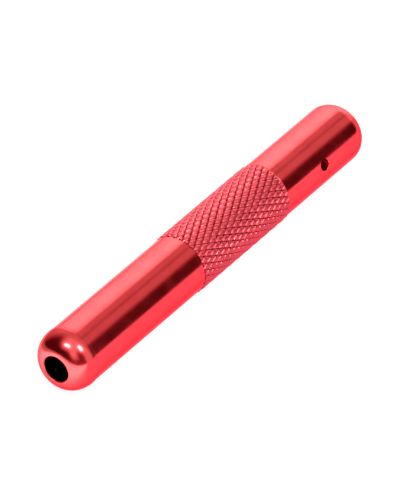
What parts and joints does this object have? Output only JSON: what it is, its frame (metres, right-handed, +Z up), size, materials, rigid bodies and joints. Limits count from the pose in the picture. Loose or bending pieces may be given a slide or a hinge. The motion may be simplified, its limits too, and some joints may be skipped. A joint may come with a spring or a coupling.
{
  "type": "pin vise drill",
  "caption": "Slim pin vise: domed nose with a round mouth over a split collet, smooth sleeves, diamond-knurled grip and a hollow rear sleeve with a cross hole.",
  "frame": {"origin": "under the middle of the tool, on the surface that the knurled grip rests on", "axes": "+X from the nose (collet mouth) to the domed tail along the tool's axis, +Z up, the cross hole opens on the -Y side"},
  "size_m": [0.091, 0.0124, 0.0124],
  "materials": {
    "red_anodised": "polished red anodised aluminium",
    "red_anodised_knurl": "red anodised diamond knurl, satin",
    "collet_steel": "ground hardened steel",
    "spindle_steel": "turned steel",
    "spring_steel": "drawn spring wire",
    "black_oxide_steel": "black oxide, satin",
    "brass": "turned brass",
    "rubber": "smooth black nitrile"
  },
  "bodies": {
    "handle": {"knurled_grip": "red_anodised_knurl", "chuck_spindle": "spindle_steel", "spindle_nut": "black_oxide_steel", "front_seal_ring": "rubber", "collet_body": "collet_steel", "collet_spring": "spring_steel"},
    "spring_seat": {"spring_washer": "brass"},
    "front_sleeve": {"front_barrel": "red_anodised", "nose_cap": "red_anodised"},
    "tail_seal": {"rear_seal_ring": "rubber"},
    "tail_sleeve": {"rear_barrel": "red_anodised"},
    "collet_jaw_1": {"collet_jaw_1": "collet_steel"},
    "collet_jaw_2": {"collet_jaw_2": "collet_steel"},
    "collet_jaw_3": {"collet_jaw_3": "collet_steel"},
    "collet_jaw_4": {"collet_jaw_4": "collet_steel"}
  },
  "joints": [
    {"name": "barrel_advance", "type": "slide", "parent": "handle", "child": "spring_seat", "axis": [-1, 0, 0], "range_m": [0, 0.0024], "deforming": ["collet_spring"]},
    {"name": "barrel_turn", "type": "hinge", "parent": "spring_seat", "child": "front_sleeve", "pos_m": [-0.0245, 0, 0.0062], "axis": [-1, 0, 0], "range_deg": [0, 1080]},
    {"name": "tail_advance", "type": "slide", "parent": "handle", "child": "tail_seal", "axis": [1, 0, 0], "range_m": [0, 0.0072]},
    {"name": "tail_turn", "type": "hinge", "parent": "tail_seal", "child": "tail_sleeve", "pos_m": [0.0305, 0, 0.0062], "axis": [1, 0, 0], "range_deg": [0, 3240]},
    {"name": "jaw_1_open", "type": "hinge", "parent": "handle", "child": "collet_jaw_1", "pos_m": [-0.02875, 0.00147, 0.00767], "axis": [0, 0.7071, -0.7071], "range_deg": [0, 2]},
    {"name": "jaw_2_open", "type": "hinge", "parent": "handle", "child": "collet_jaw_2", "pos_m": [-0.02875, -0.00147, 0.00767], "axis": [0, 0.7071, 0.7071], "range_deg": [0, 2]},
    {"name": "jaw_3_open", "type": "hinge", "parent": "handle", "child": "collet_jaw_3", "pos_m": [-0.02875, -0.00147, 0.00473], "axis": [0, -0.7071, 0.7071], "range_deg": [0, 2]},
    {"name": "jaw_4_open", "type": "hinge", "parent": "handle", "child": "collet_jaw_4", "pos_m": [-0.02875, 0.00147, 0.00473], "axis": [0, -0.7071, -0.7071], "range_deg": [0, 2]}
  ],
  "couplings": [
    {"joint": "barrel_advance", "follows": "barrel_turn", "m_per_rad": 0.00012732},
    {"joint": "jaw_1_open", "follows": "barrel_turn", "ratio": 0.0018519},
    {"joint": "jaw_2_open", "follows": "barrel_turn", "ratio": 0.0018519},
    {"joint": "jaw_3_open", "follows": "barrel_turn", "ratio": 0.0018519},
    {"joint": "jaw_4_open", "follows": "barrel_turn", "ratio": 0.0018519},
    {"joint": "tail_advance", "follows": "tail_turn", "m_per_rad": 0.00012732}
  ]
}
